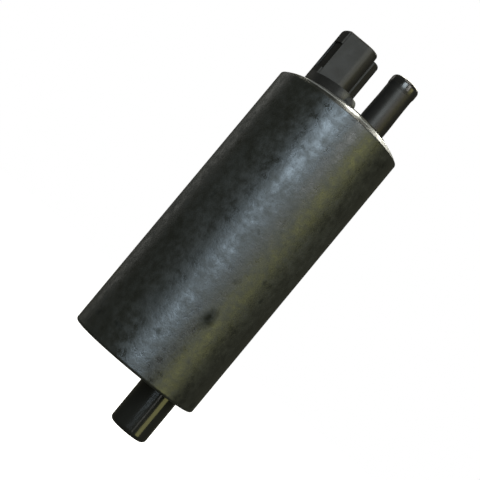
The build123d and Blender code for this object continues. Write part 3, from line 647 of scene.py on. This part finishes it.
magnet_finish = Finish("magnet_ferrite", specular_ior_level=0.6)
sintered = magnet_finish.noise(SINTER_SIZE, detail=3.0, roughness=0.65)
ground = magnet_finish.noise(GROUND_SIZE, detail=4.0, shift=4.0)
chipping = magnet_finish.noise(CHIP_SIZE, detail=2.0, shift=9.0)
chips = magnet_finish.steps(chipping, (0.27, 1.0), (0.31, 0.0))
magnet_finish.set(
    base_color=magnet_finish.blend(ground * 0.6 + sintered * 0.4, FERRITE, FERRITE_GROUND),
    roughness=0.52 + chips * 0.25 - ground * 0.12,
    normal=magnet_finish.relief(sintered * 0.4 + (1 - chips) * 0.6, FERRITE_RELIEF),
)
magnet_finish.give("magnet_front", "magnet_rear")
spring_finish.give("magnet_clip_left", "magnet_clip_right")


# Shaft: hardened steel, ground round between the bushes, with a milled flat that drives the impeller.
# The core, the insulators and the hub are pressed on it.
SHAFT_STEEL = (0.58, 0.58, 0.57)
SHAFT_STEEL_WORN = (0.44, 0.43, 0.41)
GRINDING_SIZE = 0.00007
GRINDING_DEPTH = 0.000003
POLISH_SIZE = 0.003

shaft_finish = Finish("shaft_steel", metallic=1.0)
grinding = shaft_finish.noise(GRINDING_SIZE, detail=2.0, stretch=(14, 14, 1))
polish = shaft_finish.noise(POLISH_SIZE, detail=3.0, stretch=(3, 3, 1), shift=4.0)
shaft_finish.set(
    base_color=shaft_finish.blend(polish, SHAFT_STEEL, SHAFT_STEEL_WORN),
    roughness=0.16 + grinding * 0.14 + polish * 0.08,
    normal=shaft_finish.relief(grinding, GRINDING_DEPTH),
)
shaft_finish.give("shaft")


# Armature core: a stack of stamped steel sheets half a millimetre thick, pressed on the shaft,
# dull from the lacquer between them and a little rusty along their edges.
CORE_STEEL = (0.30, 0.295, 0.29)
CORE_EDGE_DARK = (0.07, 0.06, 0.05)
CORE_RUST = (0.20, 0.09, 0.04)
SHEET_THICKNESS = 0.0005
SHEET_RELIEF = 0.00003
LACQUER_SIZE = 0.0012
RUST_SIZE = 0.0028

core_finish = Finish("core_sheets", metallic=0.85)
sheets_up = core_finish.along("Z") / SHEET_THICKNESS
within_sheet = core_finish.node("ShaderNodeMath", {"operation": "FRACT"}, {0: sheets_up})
joint_line = core_finish.steps(within_sheet, (0.0, 1.0), (0.10, 0.0), (0.90, 0.0), (1.0, 1.0))
lacquer = core_finish.noise(LACQUER_SIZE, detail=5.0)
rusting = core_finish.noise(RUST_SIZE, detail=6.0, roughness=0.7, shift=5.0)
rust = core_finish.steps(rusting, (0.60, 0.0), (0.70, 0.7))
sheet_colour = core_finish.blend(joint_line * 0.8 + lacquer * 0.2, CORE_STEEL, CORE_EDGE_DARK)
core_finish.set(
    base_color=core_finish.blend(rust, sheet_colour, CORE_RUST),
    roughness=0.36 + lacquer * 0.16 + rust * 0.3,
    normal=core_finish.relief(1 - joint_line + lacquer * 0.1, SHEET_RELIEF),
)
core_finish.give("armature_core")


# Insulators and commutator hub: moulded in a filled thermosetting plastic, brown-red and speckled.
# The insulators keep the windings off the core, and the hub carries the copper segments.
INSULATOR_PLASTIC = (0.17, 0.045, 0.028)
INSULATOR_DARK = (0.075, 0.022, 0.015)
FILLER_SPECK = (0.34, 0.20, 0.14)
SPECK_SIZE = 0.00028
INSULATOR_FLOW_SIZE = 0.003
INSULATOR_RELIEF = 0.000015

insulator_finish = Finish("insulator_plastic", specular_ior_level=0.4)
flow = insulator_finish.noise(INSULATOR_FLOW_SIZE, detail=5.0, roughness=0.6)
filler = insulator_finish.noise(SPECK_SIZE, detail=1.0, shift=6.0)
specks = insulator_finish.steps(filler, (0.66, 0.0), (0.72, 1.0))
plastic = insulator_finish.blend(flow, INSULATOR_PLASTIC, INSULATOR_DARK)
insulator_finish.set(
    base_color=insulator_finish.blend(specks * 0.6, plastic, FILLER_SPECK),
    roughness=0.42 + flow * 0.16 - specks * 0.1,
    normal=insulator_finish.relief(flow * 0.5 + specks * 0.5, INSULATOR_RELIEF),
)
insulator_finish.give("upper_insulator", "lower_insulator", "commutator_hub")


# Windings: eight coils of enamelled copper wire wound through the slots, each from one slot to the
# third one on, so that their ends cross over each other above and below the core.
ENAMEL = (0.52, 0.16, 0.055)
ENAMEL_DARK = (0.26, 0.065, 0.025)
ENAMEL_SHADE_SIZE = 0.0009
ENAMEL_DRIP_SIZE = 0.0035
COIL_COUNT = 8
COIL_REACH = 3
WIRE_RADIUS = 0.00027
WIRE_SPACING = 1.96 * WIRE_RADIUS
WIRES_ROUND_MIDDLE = 6
UPPER_ENDS = (
    (0.0, 0.0099, 0.0104), (0.17, 0.0092, 0.0116), (0.38, 0.0084, 0.0122),
    (0.62, 0.0068, 0.0120), (0.83, 0.0067, 0.0112), (1.0, 0.0081, 0.0104),
)
LOWER_ENDS = (
    (1.0, 0.0081, -0.0144), (0.83, 0.0067, -0.0155), (0.62, 0.0068, -0.0164),
    (0.38, 0.0084, -0.0166), (0.17, 0.0092, -0.0156), (0.0, 0.0099, -0.0144),
)

enamel_finish = Finish("winding_enamel", metallic=0.85, coat_weight=0.6, coat_roughness=0.15)
shade = enamel_finish.noise(ENAMEL_SHADE_SIZE, detail=4.0)
drips = enamel_finish.noise(ENAMEL_DRIP_SIZE, detail=3.0, shift=5.0)
enamel_finish.set(
    base_color=enamel_finish.blend(shade * 0.5 + drips * 0.5, ENAMEL, ENAMEL_DARK),
    roughness=0.24 + drips * 0.2,
)

coil_path = []
for share, radius, level in UPPER_ENDS + LOWER_ENDS:
    turn = math.radians(share * COIL_REACH * 360 / COIL_COUNT)
    coil_path.append(Vector((radius * math.cos(turn), radius * math.sin(turn), level)))
wire_offsets = [(0.0, 0.0)]
for number in range(WIRES_ROUND_MIDDLE):
    turn = 2 * math.pi * number / WIRES_ROUND_MIDDLE
    wire_offsets.append((WIRE_SPACING * math.cos(turn), WIRE_SPACING * math.sin(turn)))
winding_curve = bpy.data.curves.new("windings_wound", "CURVE")
winding_curve.dimensions = "3D"
winding_curve.bevel_depth = WIRE_RADIUS
winding_curve.bevel_resolution = 1
winding_curve.resolution_u = 4
for coil_number in range(COIL_COUNT):
    to_slot = Matrix.Rotation(2 * math.pi * coil_number / COIL_COUNT, 3, "Z")
    for aside, outward in wire_offsets:
        wire = winding_curve.splines.new("NURBS")
        wire.points.add(len(coil_path) - 1)
        for index, point in enumerate(coil_path):
            ahead = (coil_path[(index + 1) % len(coil_path)] - coil_path[index - 1]).normalized()
            radial = Vector((point.x, point.y, 0)).normalized()
            across = ahead.cross(radial).normalized()
            facing = across.cross(ahead)
            wire.points[index].co = (*(to_slot @ (point + across * aside + facing * outward)), 1.0)
        wire.order_u = 3
        wire.use_cyclic_u = True
windings = bpy.data.objects.new("windings_wound", winding_curve)
bpy.context.scene.collection.objects.link(windings)
bpy.ops.object.select_all(action="DESELECT")
windings.select_set(True)
bpy.context.view_layer.objects.active = windings
bpy.ops.object.convert(target="MESH")
windings = bpy.context.active_object
bpy.ops.object.shade_smooth()
windings.data.materials.clear()
windings.data.materials.append(enamel_finish.material)
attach(windings, "rotor")
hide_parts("windings")


# Commutator segments: eight copper sectors on the hub's face, polished and blackened in a ring
# where the brushes run.
SEGMENT_COPPER = (0.68, 0.32, 0.17)
TRACK_COPPER = (0.24, 0.12, 0.075)
TRACK_HALF_WIDTH = 0.0026
FINE_RINGS_PER_METRE = 14000
FINE_RING_DEPTH = 0.000004

segment_finish = Finish("segment_copper", metallic=1.0)
from_middle = segment_finish.from_axis()
off_track = abs(from_middle - BRUSH_OFFSET) / TRACK_HALF_WIDTH
track = segment_finish.steps(off_track, (0.80, 1.0), (1.0, 0.0))
ring_sockets = {"W": from_middle * FINE_RINGS_PER_METRE, "Detail": 2.0}
fine_rings = segment_finish.node("ShaderNodeTexNoise", {"noise_dimensions": "1D"}, ring_sockets, "Fac")
blackened = track * (0.55 + fine_rings * 0.45)
segment_finish.set(
    base_color=segment_finish.blend(blackened, SEGMENT_COPPER, TRACK_COPPER),
    roughness=0.34 - track * 0.12 + fine_rings * 0.12,
    normal=segment_finish.relief(fine_rings, FINE_RING_DEPTH),
)
segment_finish.give("commutator_segments")


# Pump casing and impeller: moulded in a glass-filled plastic that keeps its size in fuel, brown with
# fine pale fibres. The impeller is ground flat on both faces, and is darker.
CASING_PLASTIC = (0.085, 0.052, 0.027)
CASING_DARK = (0.045, 0.028, 0.016)
IMPELLER_PLASTIC = (0.040, 0.027, 0.018)
IMPELLER_DARK = (0.018, 0.013, 0.010)
FIBRE = (0.24, 0.18, 0.11)
FIBRE_SIZE = 0.00016
FILLED_FLOW_SIZE = 0.0035
FILLED_RELIEF = 0.00001

for name, colour, dark_colour, piece_name in (
    ("casing_plastic", CASING_PLASTIC, CASING_DARK, "pump_casing"),
    ("impeller_plastic", IMPELLER_PLASTIC, IMPELLER_DARK, "impeller"),
):
    filled_finish = Finish(name, specular_ior_level=0.45)
    flow = filled_finish.noise(FILLED_FLOW_SIZE, detail=5.0, roughness=0.6)
    glass = filled_finish.noise(FIBRE_SIZE, detail=2.0, stretch=(5, 1, 1), shift=6.0)
    fibres = filled_finish.steps(glass, (0.62, 0.0), (0.70, 1.0))
    plastic = filled_finish.blend(flow, colour, dark_colour)
    filled_finish.set(
        base_color=filled_finish.blend(fibres * 0.5, plastic, FIBRE),
        roughness=0.44 + flow * 0.14 - fibres * 0.08,
        normal=filled_finish.relief(flow * 0.4 + fibres * 0.6, FILLED_RELIEF),
    )
    filled_finish.give(piece_name)


# Thrust washer: stamped from a sheet of pale, slippery plastic, stained by fuel. It keeps the rotor
# off the pump casing.
WASHER_PLASTIC = (0.55, 0.50, 0.38)
WASHER_STAINED = (0.34, 0.27, 0.16)
WASHER_STAIN_SIZE = 0.0022
WASHER_SKIN_SIZE = 0.00025
WASHER_SKIN_DEPTH = 0.00001

washer_finish = Finish("washer_plastic", specular_ior_level=0.4)
stain = washer_finish.noise(WASHER_STAIN_SIZE, detail=5.0)
skin = washer_finish.noise(WASHER_SKIN_SIZE, shift=3.0)
washer_finish.set(
    base_color=washer_finish.blend(stain, WASHER_PLASTIC, WASHER_STAINED),
    roughness=0.36 + stain * 0.2,
    normal=washer_finish.relief(skin, WASHER_SKIN_DEPTH),
)
washer_finish.give("thrust_washer")


# Inlet cover: a smoother, glossier moulding in black plastic, wetted by fuel in use. It closes the
# pump chamber, and the shell's lower lip is rolled in over it.
INLET_PLASTIC = (0.005, 0.005, 0.0045)
INLET_PLASTIC_PALE = (0.011, 0.011, 0.0095)
INLET_FLOW_SIZE = 0.005
SCUFF_SIZE = 0.0004
SCUFF_DEPTH = 0.000008

inlet_finish = Finish("inlet_plastic", specular_ior_level=0.4)
flow = inlet_finish.noise(INLET_FLOW_SIZE, detail=5.0, roughness=0.6, stretch=(1, 1, 3))
scuffs = inlet_finish.noise(SCUFF_SIZE, detail=3.0, stretch=(1, 1, 6), shift=5.0)
inlet_finish.set(
    base_color=inlet_finish.blend(flow, INLET_PLASTIC, INLET_PLASTIC_PALE),
    roughness=0.13 + (scuffs - 0.4) * 0.12,
    normal=inlet_finish.relief(scuffs, SCUFF_DEPTH),
)
inlet_finish.give("inlet_cover")


# Studio: soft lights in front, at the right, overhead and behind the pump, a pale floor well below
# it, and a surround that is white to the camera and dim in the reflections.
COOL = (0.76, 0.90, 1.0)
WARM = (1.0, 0.96, 0.38)
NEUTRAL = (1.0, 0.99, 0.94)
CREAM = (1.0, 0.97, 0.84)
WHITE = (1.0, 1.0, 1.0)
SURROUND = (0.083, 0.082, 0.060)
FLOOR_PAPER = (0.85, 0.85, 0.85)
FLOOR_LEVEL = -0.105
FLOOR_RADIUS = 3.0
FLOOR_SIDES = 96


def soft_light(name, azimuth, elevation, distance, width, height, power, colour):
    """A softbox that faces the pump, at so many degrees to the right of the camera and above it.

    Its distance, width and height are in metres, and its power in watts.
    """
    data = bpy.data.lights.new(name, "AREA")
    data.shape = "RECTANGLE"
    data.size = width
    data.size_y = height
    data.energy = power
    data.color = colour
    light = bpy.data.objects.new(name, data)
    bpy.context.scene.collection.objects.link(light)
    turn = math.radians(azimuth)
    rise = math.radians(elevation)
    away = Vector((math.sin(turn) * math.cos(rise), -math.cos(turn) * math.cos(rise), math.sin(rise)))
    facing = away.to_track_quat("Z", "Y").to_matrix().to_4x4()
    light.matrix_world = Matrix.Translation(away * distance) @ facing
    light.visible_camera = False


soft_light("cool_front", -3, 14, 0.9, 0.42, 0.58, 9.2, COOL)
soft_light("lamp_front", -4, 38, 0.9, 0.10, 0.10, 0.7, NEUTRAL)
soft_light("fill_right", 33, 24, 0.9, 0.24, 0.6, 3.2, NEUTRAL)
soft_light("warm_right", 60, 0, 0.9, 0.38, 0.8, 3.0, WARM)
soft_light("strip_right", 25, -5, 0.9, 0.03, 0.6, 0.22, NEUTRAL)
soft_light("rim_left", -132, 12, 0.9, 0.25, 0.55, 0.38, NEUTRAL)
soft_light("pale_behind", 170, 45, 0.8, 0.45, 0.3, 3.2, CREAM)
soft_light("overhead", 0, 75, 0.7, 0.4, 0.4, 1.6, NEUTRAL)

bpy.ops.object.select_all(action="DESELECT")
bpy.ops.mesh.primitive_circle_add(
    vertices=FLOOR_SIDES, radius=FLOOR_RADIUS, fill_type="NGON", location=(0, 0, FLOOR_LEVEL)
)
floor = bpy.context.active_object
floor.name = "floor"
floor_finish = Finish("floor_paper", roughness=0.9, emission_strength=1.0)
floor_finish.set(base_color=FLOOR_PAPER, emission_color=WHITE)
floor.data.materials.append(floor_finish.material)
floor.visible_diffuse = False
floor.visible_glossy = False

world = bpy.data.worlds.new("surround")
bpy.context.scene.world = world
world.use_nodes = True
surround = Nodes(world.node_tree)
seen = surround.node("ShaderNodeLightPath", {}, {}, "Is Camera Ray")
dim = surround.node("ShaderNodeBackground", {}, {"Color": SURROUND})
white = surround.node("ShaderNodeBackground", {}, {"Color": WHITE})
both = surround.node("ShaderNodeMixShader", {}, {0: seen, 1: dim, 2: white})
surround.join(world.node_tree.nodes["World Output"].inputs["Surface"], both)

bpy.context.scene.view_settings.view_transform = "Standard"
